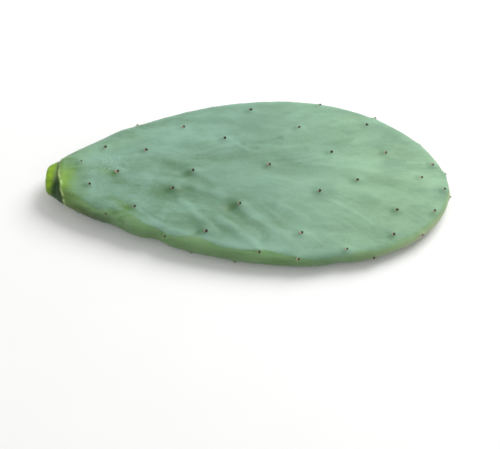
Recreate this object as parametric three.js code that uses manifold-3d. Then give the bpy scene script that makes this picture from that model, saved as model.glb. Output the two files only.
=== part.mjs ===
// A prickly pear pad: one flattened stem segment, cut at its neck and lying on its belly.
// X runs from the cut neck (-X) to the tip (+X), Y goes across the blade and Z is up.
// Lengths are in millimetres. The origin ends up under the middle of the pad, on the surface it lies on.

import * as THREE from 'three';
import { mergeVertices } from 'three/addons/utils/BufferGeometryUtils.js';
import Module from 'manifold-3d';

const wasm = await Module();
wasm.setup();

// Outline of the blade. Its length runs from the lip at the neck (s = 0) to the tip (s = 1).
const BLADE_LENGTH = 338;
const BLADE_HALF_WIDTH = 88.5;
const NECK_HALF_WIDTH = 21;
const WIDEST_AT = 0.6; // share of the blade's length
const FLANK_POWER = 0.88; // how soon the flanks spread from the neck
const TIP_BLUNTNESS = 1.95; // with TIP_ROUNDNESS, the oval of the tip
const TIP_ROUNDNESS = 0.52;
const SIDEWAYS_BOW = 6.2; // the blade leans towards +Y in the middle
const NECK_LEAN = 2.2; // and towards -Y at the neck
const NECK_LEAN_POWER = 6; // how soon that lean dies out from the neck
const TIP_LEAN = 2.6; // and towards -Y at the tip
const TIP_LEAN_POWER = 9;
// Where the margin waves in (or out, if less than 0)
const RIM_WAVES = [
  { x: 46, side: -1, inward: 2.4, halfLength: 9 },
  { x: 84, side: -1, inward: 3.2, halfLength: 9 },
  { x: 236, side: -1, inward: 2.1, halfLength: 12 },
  { x: 48, side: 1, inward: -2.2, halfLength: 12 },
];

// Thickness of the blade, as half of it above and half below the middle surface
const BASE_HALF_THICKNESS = 12.2;
const THINNING_EVEN = 1.0; // lost steadily towards the tip
const THINNING_LATE = 4.2; // lost mostly near the tip
const RIM_RADIUS_BASE = 10.2;
const RIM_RADIUS_TIP = 4.6;
const RIM_RADIUS_POWER = 1.6;
const CROWN_POWER = 2.2;

// How the middle surface is bent
const LENGTHWISE_BOW = 6; // the neck stands this much higher than the lowest stretch
const LOWEST_AT = 0.7; // share of the blade's length
const TWIST = 1.6;

// Long soft swells and folds of the upper face: height, wavelength across, drift along, phase
const SWELLS = [
  { height: 0.55, across: 44, along: 260, phase: 0.6 },
  { height: 0.35, across: 27, along: 150, phase: 2.1 },
];
const VALLEY = { x: 105, y: -20, depth: 1.5, halfLength: 70, halfWidth: 13, slope: -0.1 };
const SWELL_FADE = 26; // distance from the rim over which the swells die out

// The stub of the neck, narrower than the lip it grows from
const STUB_LENGTH = 12;
const STUB_END_HALF_WIDTH = 13.2;
const STUB_TAPER_POWER = 0.85;
const STUB_STEP = 2.6; // how far its faces lie below the blade's
const STUB_SIDE_STEP = 0.1; // share of that step that its sides are drawn in by
const STUB_THINNING = 0.7; // lost steadily from the lip to the cut
const LIP_HEIGHT = 0.7;
const LIP_HALF_LENGTH = 2.2;
const GROOVE_DEPTH = 0.9;
const GROOVE_AT = -2.6;
const STUB_EDGE_RADIUS = 3;
const CUT_DISH = 1.4; // the healed cut is dished this deep
const CUT_RINGS = [0.35, 0.7, 0.9];

// Areoles follow the growth spiral of the stem, wound round the flattened section
const AREOLE_COUNT = 82;
const TURN_PER_AREOLE = 0.3835; // of a full turn, close to the golden angle
const FIRST_TURN = 0.422;
const TURN_LAG = -0.037; // the spiral slips back a little towards the tip
const SPIRAL_START = 0.12;
const SPIRAL_EASE = 0.7; // blends even steps with steps that crowd towards the tip
const SPIRAL_POWER = 1.43;
const SPREAD_POWER = 1.12; // gathers the rows towards the middle of each face
const BLIND_AREOLES = [52, 67]; // grown over
// Areoles that strayed from the spiral as the pad swelled: number -> [along, across]
const STRAYS = {
  0: [11, 3],
  2: [6, -1],
  5: [0, 5],
  7: [0, -8],
  8: [0, 3],
  10: [-3, -1],
  13: [-2, 8],
  15: [-6, -4],
  16: [9, -7],
  18: [3, 9],
  20: [0, -11],
  21: [4, -6],
  23: [-6, -5],
  26: [-9, -5],
  28: [-4, -8],
  31: [-6, -10],
  33: [-5, -6],
  34: [-5, 1],
  36: [-4, -6],
  39: [7, -6],
  41: [1, -4],
  42: [-10, -3],
  44: [2, -4],
  47: [9, -1],
  49: [-6, 1],
  54: [9, 4],
  57: [-16, 0],
  62: [-5, 0],
  65: [-11, -6],
  76: [6, 8],
  80: [0, -4],
};

// Each areole: a low lopsided tubercle with a small round cushion on it
const TUBERCLE_SIDES = 6;
const TUBERCLE_RADIUS = 5.2; // where it leaves the skin
const TUBERCLE_HEIGHT = 1.1;
const TUBERCLE_STRETCH = 1.25; // longer along the pad than across
const TUBERCLE_ROOT = 1.3; // how deep it is sunk into the flesh
const CUSHION_FOOT_RADIUS = 1.9;
const CUSHION_TOP_RADIUS = 1.2;
const CUSHION_HEIGHT = 0.9;
const CUSHION_CROWN = 0.15;
const CUSHION_SHIFT = 1.2; // towards the tip, off the tubercle's middle
const RIM_TUBERCLE_RADIUS = 2.6; // narrower on the rim
const RIM_TUBERCLE_ROOT = 2;
const SMALL_AREOLE = 0.8; // scale of those near the neck

// The flat spot that the belly rests on
const FLAT_SPOT_DEPTH = 0.45; // how much is pressed off the belly's lowest point
const CUTTER_SIZE = 600;

// Fineness of the solid
const STATIONS = 46;
const QUADRANT_STEPS = 13;
const OUTLINE_SAMPLES = 420;
const STUB_STATIONS = 8;
const STUB_STATION_POWER = 1.25; // closer together at the cut
const TIP_STATION_CROWDING = 0.65;
const WELD_DISTANCE = 1e-3;
const FRAME_STEP = 2; // for slopes, along the pad and as a share of the half width
const FRAME_STEP_ACROSS = 0.02;

const SKIN_COLOUR = 0x86a98e;

const clamp = THREE.MathUtils.clamp;
const lerp = THREE.MathUtils.lerp;

function smooth(value) {
  const v = clamp(value, 0, 1);
  return v * v * (3 - 2 * v);
}

function bell(value, halfWidth) {
  return Math.exp(-((value / halfWidth) ** 2));
}

// Half the width of the neck or the blade at x, before the sideways bow
function halfWidth(x) {
  if (x < 0) {
    const u = clamp((x + STUB_LENGTH) / STUB_LENGTH, 0, 1);
    return lerp(STUB_END_HALF_WIDTH, NECK_HALF_WIDTH, u ** STUB_TAPER_POWER);
  }
  const s = Math.min(x / BLADE_LENGTH, 1);
  if (s < WIDEST_AT) {
    const rise = Math.sin((Math.PI / 2) * (s / WIDEST_AT) ** FLANK_POWER);
    return lerp(NECK_HALF_WIDTH, BLADE_HALF_WIDTH, rise);
  }
  const u = (s - WIDEST_AT) / (1 - WIDEST_AT);
  return BLADE_HALF_WIDTH * Math.max(0, 1 - u ** TIP_BLUNTNESS) ** TIP_ROUNDNESS;
}

// The outline as points, closer together towards the tip, for measuring the distance to it
const outline = Array.from({ length: OUTLINE_SAMPLES + 1 }, (_, i) => {
  const t = Math.sin((Math.PI / 2) * (i / OUTLINE_SAMPLES));
  const x = lerp(-3 * STUB_LENGTH, BLADE_LENGTH, t);
  return [x, halfWidth(x)];
});

function distanceToOutline(x, y) {
  let nearest = Infinity;
  for (let i = 1; i < outline.length; i += 1) {
    const [startX, startY] = outline[i - 1];
    const runX = outline[i][0] - startX;
    const runY = outline[i][1] - startY;
    const gapX = x - startX;
    const gapY = Math.abs(y) - startY;
    const along = clamp((gapX * runX + gapY * runY) / (runX ** 2 + runY ** 2), 0, 1);
    nearest = Math.min(nearest, (gapX - along * runX) ** 2 + (gapY - along * runY) ** 2);
  }
  return Math.sqrt(nearest);
}

function rimRadius(x) {
  const s = clamp(x / BLADE_LENGTH, 0, 1);
  return lerp(RIM_RADIUS_BASE, RIM_RADIUS_TIP, s ** RIM_RADIUS_POWER);
}

function faceHalfThickness(x) {
  const s = clamp(x / BLADE_LENGTH, 0, 1);
  return BASE_HALF_THICKNESS - THINNING_EVEN * s - THINNING_LATE * s ** 3;
}

// How far the surface is drawn in by the stub's step and groove, less the lip
function drawnIn(x) {
  const step = STUB_STEP * (1 - smooth((x - GROOVE_AT) / LIP_HALF_LENGTH));
  const groove = GROOVE_DEPTH * bell(x - GROOVE_AT, LIP_HALF_LENGTH / 2);
  const lip = LIP_HEIGHT * bell(x - LIP_HALF_LENGTH, LIP_HALF_LENGTH);
  const thinning = STUB_THINNING * clamp(-x / STUB_LENGTH, 0, 1);
  return step + groove + thinning - lip;
}

// The stub's end is rounded over to the cut
function endRounding(x) {
  const fromEnd = x + STUB_LENGTH;
  if (fromEnd >= STUB_EDGE_RADIUS) return 0;
  const short = STUB_EDGE_RADIUS - fromEnd;
  return STUB_EDGE_RADIUS - Math.sqrt(STUB_EDGE_RADIUS ** 2 - short ** 2);
}

function middleHeight(x, y) {
  const s = x / BLADE_LENGTH;
  return LENGTHWISE_BOW * (s / LOWEST_AT - 1) ** 2 + TWIST * (y / BLADE_HALF_WIDTH) * (s - 0.5);
}

function sidewaysBow(x) {
  const s = clamp(x / BLADE_LENGTH, 0, 1);
  const lean = NECK_LEAN * (1 - s) ** NECK_LEAN_POWER + TIP_LEAN * s ** TIP_LEAN_POWER;
  return SIDEWAYS_BOW * Math.sin(Math.PI * s) - lean;
}

// How far the margin's waves move the skin across
function rimWave(x, across) {
  let shift = 0;
  for (const wave of RIM_WAVES) {
    const inward = wave.inward * bell(x - wave.x, wave.halfLength);
    if (across * wave.side > 0) shift -= wave.side * inward * Math.abs(across) ** 3;
  }
  return shift;
}

// Swells and folds of the upper face, fading out at the rim
function upperRelief(x, y, fromRim) {
  let height = 0;
  for (const swell of SWELLS) {
    const turns = y / swell.across + x / swell.along;
    height += swell.height * Math.sin(2 * Math.PI * turns + swell.phase);
  }
  const dx = x - VALLEY.x;
  const dy = y - VALLEY.y - VALLEY.slope * dx;
  height -= VALLEY.depth * bell(dx, VALLEY.halfLength) * bell(dy, VALLEY.halfWidth);
  return height * smooth(fromRim / SWELL_FADE) * smooth(x / SWELL_FADE);
}

// A point of the skin: x along, y across (-1 to 1 of the half width), side +1 above and -1 below
function skinPoint(x, across, side) {
  const inset = drawnIn(x) + endRounding(x);
  const y = across * (halfWidth(x) - STUB_SIDE_STEP * drawnIn(x) - endRounding(x));
  const onRim = Math.abs(across) === 1;
  const fromRim = onRim ? 0 : distanceToOutline(x, across * halfWidth(x));
  const radius = rimRadius(x);
  const round = Math.sqrt(Math.max(0, radius ** 2 - Math.max(0, radius - fromRim) ** 2));
  const inwards = clamp(fromRim / Math.max(halfWidth(x), radius), 0, 1);
  const crown = 1 - (1 - inwards) ** CROWN_POWER;
  let height = round + (faceHalfThickness(x) - radius) * crown;
  height *= 1 - inset / faceHalfThickness(x);
  const relief = side > 0 ? upperRelief(x, y, fromRim) : 0;
  const sideways = sidewaysBow(x) + rimWave(x, across);
  return new THREE.Vector3(x, y + sideways, middleHeight(x, y) + side * height + relief);
}

// Share of the half width at a step round the section: fine at the rim, coarse on the faces
function acrossAt(step) {
  const quadrant = QUADRANT_STEPS;
  const turned = step % (4 * quadrant);
  const side = turned <= 2 * quadrant ? 1 : -1;
  const fromFarRim = turned <= 2 * quadrant ? turned : 4 * quadrant - turned;
  const fromRim = Math.min(fromFarRim, 2 * quadrant - fromFarRim) / quadrant;
  const share = 1 - fromRim ** 2;
  return { across: fromFarRim <= quadrant ? share : -share, side };
}

// Stations along the pad: a few on the cut, some on the stub, the rest on the blade
function stationX(index) {
  if (index <= STUB_STATIONS) {
    return lerp(-STUB_LENGTH, LIP_HALF_LENGTH, (index / STUB_STATIONS) ** STUB_STATION_POWER);
  }
  const t = (index - STUB_STATIONS) / (STATIONS - STUB_STATIONS);
  const crowded = Math.sin((Math.PI / 2) * t);
  return lerp(LIP_HALF_LENGTH, BLADE_LENGTH, lerp(t, crowded, TIP_STATION_CROWDING));
}

// The pad without its areoles: a ball whose poles are the middle of the cut and the tip
function bodyGeometry() {
  const around = 4 * QUADRANT_STEPS;
  const rows = CUT_RINGS.length + 1 + STATIONS;
  const geometry = new THREE.SphereGeometry(1, around, rows);
  const position = geometry.attributes.position;
  const uv = geometry.attributes.uv;
  const cutMiddle = skinPoint(-STUB_LENGTH, 0, 1).lerp(skinPoint(-STUB_LENGTH, 0, -1), 0.5);
  for (let i = 0; i < position.count; i += 1) {
    const row = Math.floor(i / (around + 1));
    const step = i % (around + 1);
    const { across, side } = acrossAt(step);
    let point;
    if (row <= CUT_RINGS.length) {
      const reach = row === 0 ? 0 : CUT_RINGS[row - 1];
      point = cutMiddle.clone().lerp(skinPoint(-STUB_LENGTH, across, side), reach);
      point.x += CUT_DISH * (1 - reach ** 2);
    } else {
      point = skinPoint(stationX(row - CUT_RINGS.length - 1), across, side);
    }
    position.setXYZ(i, point.x, point.y, point.z);
  }
  return geometry;
}

function signedVolume(positions, triangles) {
  const [a, b, c] = [new THREE.Vector3(), new THREE.Vector3(), new THREE.Vector3()];
  let sum = 0;
  for (let i = 0; i < triangles.length; i += 3) {
    a.fromArray(positions, 3 * triangles[i]);
    b.fromArray(positions, 3 * triangles[i + 1]);
    c.fromArray(positions, 3 * triangles[i + 2]);
    sum += a.dot(b.cross(c)) / 6;
  }
  return sum;
}

// A closed geometry as a solid, with its faces turned outwards
function toSolid(geometry) {
  const plain = geometry.clone();
  plain.deleteAttribute('normal');
  plain.deleteAttribute('uv');
  const merged = mergeVertices(plain, WELD_DISTANCE);
  const positions = merged.attributes.position.array;
  const corners = merged.index.array;
  const triangles = [];
  for (let i = 0; i < corners.length; i += 3) {
    const [a, b, c] = corners.slice(i, i + 3);
    if (a !== b && b !== c && c !== a) triangles.push(a, b, c);
  }
  if (signedVolume(positions, triangles) < 0) triangles.reverse();
  return new wasm.Manifold(new wasm.Mesh({
    numProp: 3,
    vertProperties: new Float32Array(positions),
    triVerts: new Uint32Array(triangles),
  }));
}

function toGeometry(solid) {
  const mesh = solid.getMesh();
  const geometry = new THREE.BufferGeometry();
  geometry.setAttribute('position', new THREE.BufferAttribute(new Float32Array(mesh.vertProperties), 3));
  geometry.setIndex(new THREE.BufferAttribute(new Uint32Array(mesh.triVerts), 1));
  geometry.computeVertexNormals();
  return geometry;
}

// Where the growth spiral puts an areole
function areolePlace(number) {
  const t = clamp((number + SPIRAL_START) / AREOLE_COUNT, 0, 1);
  const s = lerp(t ** SPIRAL_POWER, Math.sin((Math.PI / 2) * t), SPIRAL_EASE);
  const turn = 2 * Math.PI * (FIRST_TURN + number * TURN_PER_AREOLE + TURN_LAG * t * t);
  const [strayX, strayY] = STRAYS[number] ?? [0, 0];
  const x = s * BLADE_LENGTH + strayX;
  const spread = Math.sign(Math.cos(turn)) * Math.abs(Math.cos(turn)) ** SPREAD_POWER;
  const side = Math.sin(turn) >= 0 ? 1 : -1;
  const across = spread + strayY / halfWidth(x);
  if (Math.abs(across) <= 1) return { x, across, side };
  return { x, across: 2 * Math.sign(across) - across, side: -side }; // over the rim
}

// A frame on the skin: the point, the outward normal and the direction towards the tip
function skinFrame({ x, across, side }) {
  const point = skinPoint(x, across, side);
  const ahead = skinPoint(Math.min(x + FRAME_STEP, BLADE_LENGTH - FRAME_STEP / 4), across, side);
  const along = ahead.sub(skinPoint(x - FRAME_STEP, across, side));
  const towardsFarRim = across > 0 ? -1 : 1;
  const inner = skinPoint(x, across + towardsFarRim * FRAME_STEP_ACROSS, side);
  const crossways = inner.sub(point).multiplyScalar(towardsFarRim);
  const normal = along.clone().cross(crossways).normalize().multiplyScalar(side);
  const tipward = along.addScaledVector(normal, -along.dot(normal)).normalize();
  return { point, normal, tipward };
}

// One areole as a closed turned shape, its axis along +Y and the tip towards +X
function areoleGeometry(radius, root) {
  const flare = (radius - CUSHION_FOOT_RADIUS) / TUBERCLE_HEIGHT;
  const cushionTop = TUBERCLE_HEIGHT + CUSHION_HEIGHT;
  const profile = [
    [0, -root],
    [radius + flare * root, -root],
    [CUSHION_FOOT_RADIUS, TUBERCLE_HEIGHT],
    [CUSHION_TOP_RADIUS, cushionTop],
    [0, cushionTop + CUSHION_CROWN],
  ];
  const points = profile.map(([radius, height]) => new THREE.Vector2(radius, height));
  const geometry = new THREE.LatheGeometry(points, TUBERCLE_SIDES);
  const position = geometry.attributes.position;
  for (let i = 0; i < position.count; i += 1) {
    const lift = clamp(position.getY(i) / TUBERCLE_HEIGHT, 0, 1);
    const stretch = lerp(TUBERCLE_STRETCH, 1, lift);
    position.setX(i, position.getX(i) * stretch + CUSHION_SHIFT * lift);
  }
  return geometry;
}

function areoleSolid(number) {
  const place = areolePlace(number);
  const { point, normal, tipward } = skinFrame(place);
  const sideways = new THREE.Vector3().crossVectors(tipward, normal);
  const fromRim = distanceToOutline(place.x, place.across * halfWidth(place.x));
  const onRim = fromRim < rimRadius(place.x);
  const size = place.x < SWELL_FADE ? SMALL_AREOLE : 1;
  const placed = new THREE.Matrix4().makeBasis(tipward, normal, sideways);
  placed.scale(new THREE.Vector3(size, size, size)).setPosition(point);
  const geometry = onRim
    ? areoleGeometry(RIM_TUBERCLE_RADIUS, RIM_TUBERCLE_ROOT)
    : areoleGeometry(TUBERCLE_RADIUS, TUBERCLE_ROOT);
  return toSolid(geometry.applyMatrix4(placed));
}

function cutBelow(solid, height) {
  const box = new THREE.BoxGeometry(CUTTER_SIZE * 2, CUTTER_SIZE, CUTTER_SIZE);
  box.translate(0, 0, height - CUTTER_SIZE / 2);
  return solid.subtract(toSolid(box));
}

function buildPad() {
  const body = toSolid(bodyGeometry());
  const bellyHeight = body.boundingBox().min[2];
  let pad = body;
  for (let number = 0; number < AREOLE_COUNT; number += 1) {
    if (!BLIND_AREOLES.includes(number)) pad = pad.add(areoleSolid(number));
  }
  pad = cutBelow(pad, bellyHeight + FLAT_SPOT_DEPTH);
  const { min, max } = pad.boundingBox();
  const geometry = toGeometry(pad);
  geometry.translate(-(min[0] + max[0]) / 2, -(min[1] + max[1]) / 2, -min[2]);
  return geometry;
}

const skin = new THREE.MeshStandardMaterial({ color: SKIN_COLOUR, roughness: 0.6, metalness: 0 });
const pad = new THREE.Mesh(buildPad(), skin);
pad.name = 'pad';

const group = new THREE.Group();
group.add(pad);
export default group;
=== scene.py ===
"""A prickly pear pad lying on its belly: waxy blue-green skin, felted areoles and a healed cut neck.

The pad's own lengths are in millimetres, with x from the lip at the neck, y across the blade and z up
from the middle surface at the lowest stretch. Row metres come in only where a mesh is made.
"""

import math

import bpy
import numpy as np
from mathutils import Matrix, Vector


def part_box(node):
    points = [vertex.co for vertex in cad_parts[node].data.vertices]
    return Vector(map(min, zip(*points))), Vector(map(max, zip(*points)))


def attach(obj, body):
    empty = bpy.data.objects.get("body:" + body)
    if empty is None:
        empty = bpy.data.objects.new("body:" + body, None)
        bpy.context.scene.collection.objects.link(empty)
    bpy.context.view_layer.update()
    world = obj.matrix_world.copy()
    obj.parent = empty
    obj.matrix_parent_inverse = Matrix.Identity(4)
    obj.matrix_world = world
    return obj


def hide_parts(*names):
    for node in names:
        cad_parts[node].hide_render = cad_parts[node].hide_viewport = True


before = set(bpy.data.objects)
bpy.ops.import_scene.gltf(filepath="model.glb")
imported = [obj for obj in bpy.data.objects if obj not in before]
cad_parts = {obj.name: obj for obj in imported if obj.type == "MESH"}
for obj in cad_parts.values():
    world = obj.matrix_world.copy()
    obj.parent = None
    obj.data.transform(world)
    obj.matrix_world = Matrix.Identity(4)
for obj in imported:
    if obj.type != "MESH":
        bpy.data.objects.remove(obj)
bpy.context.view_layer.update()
PAD_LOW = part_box("pad")[0]

MM = 0.001
SEED = 20

# Outline of the blade, as in the CAD part
BLADE_LENGTH = 338
BLADE_HALF_WIDTH = 88.5
NECK_HALF_WIDTH = 21
WIDEST_AT = 0.6
FLANK_POWER = 0.88
TIP_BLUNTNESS = 1.95
TIP_ROUNDNESS = 0.52
SIDEWAYS_BOW = 6.2
NECK_LEAN = 2.2
NECK_LEAN_POWER = 6
TIP_LEAN = 2.6
TIP_LEAN_POWER = 9
# Where the margin waves in or out: x, side, how far in, half length
RIM_WAVES = [(46, -1, 2.4, 9), (84, -1, 3.2, 9), (236, -1, 2.1, 12), (48, 1, -2.2, 12)]

# Thickness and bend
BASE_HALF_THICKNESS = 12.2
THINNING_EVEN = 1
THINNING_LATE = 4.2
RIM_RADIUS_BASE = 10.2
RIM_RADIUS_TIP = 4.6
RIM_RADIUS_POWER = 1.6
CROWN_POWER = 2.2
LENGTHWISE_BOW = 6
LOWEST_AT = 0.7
TWIST = 1.6

# Long swells of the upper face: height, wavelength across, drift along, phase
SWELLS = [(0.55, 44, 260, 0.6), (0.35, 27, 150, 2.1)]
VALLEY = {"x": 105, "y": -20, "depth": 1.5, "half_length": 70, "half_width": 13, "slope": -0.1}
SWELL_FADE = 26

# The neck
STUB_LENGTH = 12
STUB_END_HALF_WIDTH = 13.2
STUB_TAPER_POWER = 0.85
STUB_STEP = 2.6
STUB_SIDE_STEP = 0.1
STUB_THINNING = 0.7
LIP_HEIGHT = 0.7
LIP_HALF_LENGTH = 2.2
GROOVE_DEPTH = 0.9
GROOVE_AT = -2.6
STUB_EDGE_RADIUS = 3
CUT_DISH = 1.4

# The areoles' growth spiral
AREOLE_COUNT = 82
TURN_PER_AREOLE = 0.3835
FIRST_TURN = 0.422
TURN_LAG = -0.037
SPIRAL_START = 0.12
SPIRAL_EASE = 0.7
SPIRAL_POWER = 1.43
SPREAD_POWER = 1.12
BLIND_AREOLES = [52, 67]  # grown over
# Areoles that strayed from the spiral as the pad swelled: number, then along and across
STRAYS = {
    0: (11, 3), 2: (6, -1), 5: (0, 5), 7: (0, -8), 8: (0, 3), 10: (-3, -1), 13: (-2, 8),
    15: (-6, -4), 16: (9, -7), 18: (3, 9), 20: (0, -11), 21: (4, -6), 23: (-6, -5), 26: (-9, -5),
    28: (-4, -8), 31: (-6, -10), 33: (-5, -6), 34: (-5, 1), 36: (-4, -6), 39: (7, -6), 41: (1, -4),
    42: (-10, -3), 44: (2, -4), 47: (9, -1), 49: (-6, 1), 54: (9, 4), 57: (-16, 0), 62: (-5, 0),
    65: (-11, -6), 76: (6, 8), 80: (0, -4),
}
FLAT_SPOT_DEPTH = 0.45

# Fineness of the skin: steps along the outline, steps round the section, rings on the cut
ROWS = 318
COLUMNS = 288
CUT_RINGS = 12

# The photograph's camera: its angles about the point that it aims at, and how far off it is
CAMERA_ELEVATION = 55.46
CAMERA_AZIMUTH = -3.76
CAMERA_ROLL = 3.64
CAMERA_DISTANCE = 763.9
CAMERA_AIM = (162.5, -42.6)
FOCAL_PIXELS = 900  # its focal length as pixels of an image this wide
IMAGE_WIDTH = 500
SENSOR_WIDTH = 36
NEAREST_SEEN = 0.01  # metres


def smooth(value):
    v = np.clip(value, 0.0, 1.0)
    return v * v * (3 - 2 * v)


def bell(value, half_width):
    return np.exp(-((value / half_width) ** 2))


def mix(a, b, t):
    return a + (b - a) * t


def fade(value, span):
    """From 0 at the span's first end to 1 at its other end, which may be the lower one."""
    return smooth((value - span[0]) / (span[1] - span[0]))


def edge(gap, softness):
    """From 0 to 1 across a soft edge, and a half where the gap is 0."""
    return smooth(gap / softness + 0.5)


def share_along(x):
    return np.clip(x / BLADE_LENGTH, 0, 1)


def half_width(x):
    x = np.asarray(x, float)
    u = np.clip((x + STUB_LENGTH) / STUB_LENGTH, 0, 1)
    stub = mix(STUB_END_HALF_WIDTH, NECK_HALF_WIDTH, u**STUB_TAPER_POWER)
    s = share_along(x)
    rise = np.sin(math.pi / 2 * np.clip(s / WIDEST_AT, 0, 1) ** FLANK_POWER)
    flank = mix(NECK_HALF_WIDTH, BLADE_HALF_WIDTH, rise)
    u = np.clip((s - WIDEST_AT) / (1 - WIDEST_AT), 0, 1)
    tip = BLADE_HALF_WIDTH * np.maximum(0, 1 - u**TIP_BLUNTNESS) ** TIP_ROUNDNESS
    return np.where(x < 0, stub, np.where(s < WIDEST_AT, flank, tip))


OUTLINE_SAMPLES = 421
OUTLINE_SHARE = np.sin(math.pi / 2 * np.linspace(0, 1, OUTLINE_SAMPLES))
OUTLINE_X = mix(-3 * STUB_LENGTH, BLADE_LENGTH, OUTLINE_SHARE)
OUTLINE_Y = half_width(OUTLINE_X)
MEASURED_AT_ONCE = 20000


def distance_to_outline(x, y):
    flat_x, flat_y = np.ravel(x), np.abs(np.ravel(y))
    run_x, run_y = np.diff(OUTLINE_X), np.diff(OUTLINE_Y)
    run_squared = run_x**2 + run_y**2
    nearest = np.empty(flat_x.size)
    for start in range(0, flat_x.size, MEASURED_AT_ONCE):
        part = slice(start, start + MEASURED_AT_ONCE)
        gap_x = flat_x[part, None] - OUTLINE_X[:-1]
        gap_y = flat_y[part, None] - OUTLINE_Y[:-1]
        along = np.clip((gap_x * run_x + gap_y * run_y) / run_squared, 0, 1)
        squared = (gap_x - along * run_x) ** 2 + (gap_y - along * run_y) ** 2
        nearest[part] = squared.min(1)
    return np.sqrt(nearest).reshape(np.shape(x))


def rim_radius(x):
    return mix(RIM_RADIUS_BASE, RIM_RADIUS_TIP, share_along(x) ** RIM_RADIUS_POWER)


def face_half_thickness(x):
    s = share_along(x)
    return BASE_HALF_THICKNESS - THINNING_EVEN * s - THINNING_LATE * s**3


def drawn_in(x):
    step = STUB_STEP * (1 - smooth((x - GROOVE_AT) / LIP_HALF_LENGTH))
    groove = GROOVE_DEPTH * bell(x - GROOVE_AT, LIP_HALF_LENGTH / 2)
    thinning = STUB_THINNING * np.clip(-x / STUB_LENGTH, 0, 1)
    return step + groove + thinning - LIP_HEIGHT * bell(x - LIP_HALF_LENGTH, LIP_HALF_LENGTH)


def end_rounding(x):
    short = np.clip(STUB_EDGE_RADIUS - (x + STUB_LENGTH), 0, STUB_EDGE_RADIUS)
    return STUB_EDGE_RADIUS - np.sqrt(STUB_EDGE_RADIUS**2 - short**2)


def middle_height(x, y):
    s = x / BLADE_LENGTH
    return LENGTHWISE_BOW * (s / LOWEST_AT - 1) ** 2 + TWIST * y / BLADE_HALF_WIDTH * (s - 0.5)


def sideways_bow(x):
    s = share_along(x)
    lean = NECK_LEAN * (1 - s) ** NECK_LEAN_POWER + TIP_LEAN * s**TIP_LEAN_POWER
    return SIDEWAYS_BOW * np.sin(math.pi * s) - lean


def rim_wave(x, across):
    """How far the margin's waves move the skin across."""
    shift = np.zeros_like(x)
    for at, side, inward, half_length in RIM_WAVES:
        shift -= np.where(across * side > 0, side * inward * bell(x - at, half_length), 0)
    return shift * np.abs(across) ** 3


def swell_relief(x, y, from_rim):
    height = np.zeros_like(y)
    for rise, across, along, phase in SWELLS:
        height += rise * np.sin(2 * math.pi * (y / across + x / along) + phase)
    dx = x - VALLEY["x"]
    dy = y - VALLEY["y"] - VALLEY["slope"] * dx
    height -= VALLEY["depth"] * bell(dx, VALLEY["half_length"]) * bell(dy, VALLEY["half_width"])
    return height * smooth(from_rim / SWELL_FADE) * smooth(x / SWELL_FADE)


def skin_point(x, across, side):
    """The CAD solid's own surface, without the areoles. Returns points and distance from the rim."""
    x, across, side = np.broadcast_arrays(*(np.asarray(v, float) for v in (x, across, side)))
    inset = drawn_in(x) + end_rounding(x)
    y = across * (half_width(x) - STUB_SIDE_STEP * drawn_in(x) - end_rounding(x))
    from_rim = distance_to_outline(x, across * half_width(x))
    from_rim = np.where(np.abs(across) == 1, 0.0, from_rim)
    radius = rim_radius(x)
    rounding = np.sqrt(np.maximum(0, radius**2 - np.maximum(0, radius - from_rim) ** 2))
    inwards = np.clip(from_rim / np.maximum(half_width(x), radius), 0, 1)
    crown = 1 - (1 - inwards) ** CROWN_POWER
    height = rounding + (face_half_thickness(x) - radius) * crown
    height = height * (1 - inset / face_half_thickness(x))
    relief = np.where(side > 0, swell_relief(x, y, from_rim), 0)
    z = middle_height(x, y) + side * height + relief
    return np.stack([x, y + sideways_bow(x) + rim_wave(x, across), z], -1), from_rim


# Where the pad stands in the row: the cut end is the box's low x, the pressed belly its low z
BELLY_SAMPLES_X = np.linspace(60, 280, 90)[:, None]
BELLY_SAMPLES_ACROSS = np.linspace(-0.5, 0.5, 21)[None, :]
BELLY_LOW = skin_point(BELLY_SAMPLES_X, BELLY_SAMPLES_ACROSS, -1)[0][..., 2].min()
GROUND = BELLY_LOW + FLAT_SPOT_DEPTH
ROW_MIDDLE_Y = 6.85  # the pad's own y at the middle of the CAD box
ROW_ORIGIN = np.array([-STUB_LENGTH - PAD_LOW.x / MM, ROW_MIDDLE_Y, GROUND])


def to_row(points):
    return (np.asarray(points) - ROW_ORIGIN) * MM


def areole_places():
    """x, share of the half width and side of each areole, by the growth spiral."""
    number = np.array([n for n in range(AREOLE_COUNT) if n not in BLIND_AREOLES])
    t = np.clip((number + SPIRAL_START) / AREOLE_COUNT, 0, 1)
    s = mix(t**SPIRAL_POWER, np.sin(math.pi / 2 * t), SPIRAL_EASE)
    turn = 2 * math.pi * (FIRST_TURN + number * TURN_PER_AREOLE + TURN_LAG * t * t)
    stray = np.array([STRAYS.get(int(n), (0, 0)) for n in number], float)
    x = s * BLADE_LENGTH + stray[:, 0]
    spread = np.sign(np.cos(turn)) * np.abs(np.cos(turn)) ** SPREAD_POWER
    across = spread + stray[:, 1] / half_width(x)
    over_rim = np.abs(across) > 1
    across = np.where(over_rim, 2 * np.sign(across) - across, across)
    upper = (np.sin(turn) >= 0) ^ over_rim
    return x, across, np.where(upper, 1, -1)


FRAME_STEP, FRAME_STEP_ACROSS = 2, 0.02


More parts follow.
